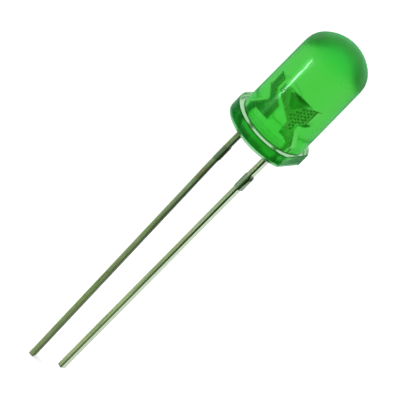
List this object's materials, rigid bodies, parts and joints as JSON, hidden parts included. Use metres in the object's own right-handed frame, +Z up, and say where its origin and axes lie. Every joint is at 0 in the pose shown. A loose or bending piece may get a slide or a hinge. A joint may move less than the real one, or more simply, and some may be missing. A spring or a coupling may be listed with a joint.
{
  "type": "through-hole led",
  "caption": "Round green indicator lamp: a domed, tinted epoxy case on a flange with a flat, and straight tinned leads for a circuit board.",
  "frame": {"origin": "on the lens axis, in the plane of the lip under the flange, which seats on the board", "axes": "+Z up the lens axis to the dome, with the leads running down; +X points to the cathode lead and the flat on the flange; the sheet of the lead frame lies in the XZ plane"},
  "size_m": [0.0056, 0.0058, 0.0321],
  "materials": {
    "tinted_epoxy": "glossy, tinted and lightly diffused cast epoxy",
    "tinned_lead": "tin-plated steel, dull and slightly spotted",
    "chip": "sawn semiconductor crystal",
    "gold": "drawn gold wire and gold contact metal",
    "silver_adhesive": "cured silver-filled adhesive"
  },
  "bodies": {
    "root": {"epoxy_case": "tinted_epoxy", "anode_lead": "tinned_lead", "cathode_lead": "tinned_lead", "led_chip": "chip", "contact_pad": "gold", "chip_adhesive": "silver_adhesive", "bond_wire": "gold"}
  },
  "joints": []
}
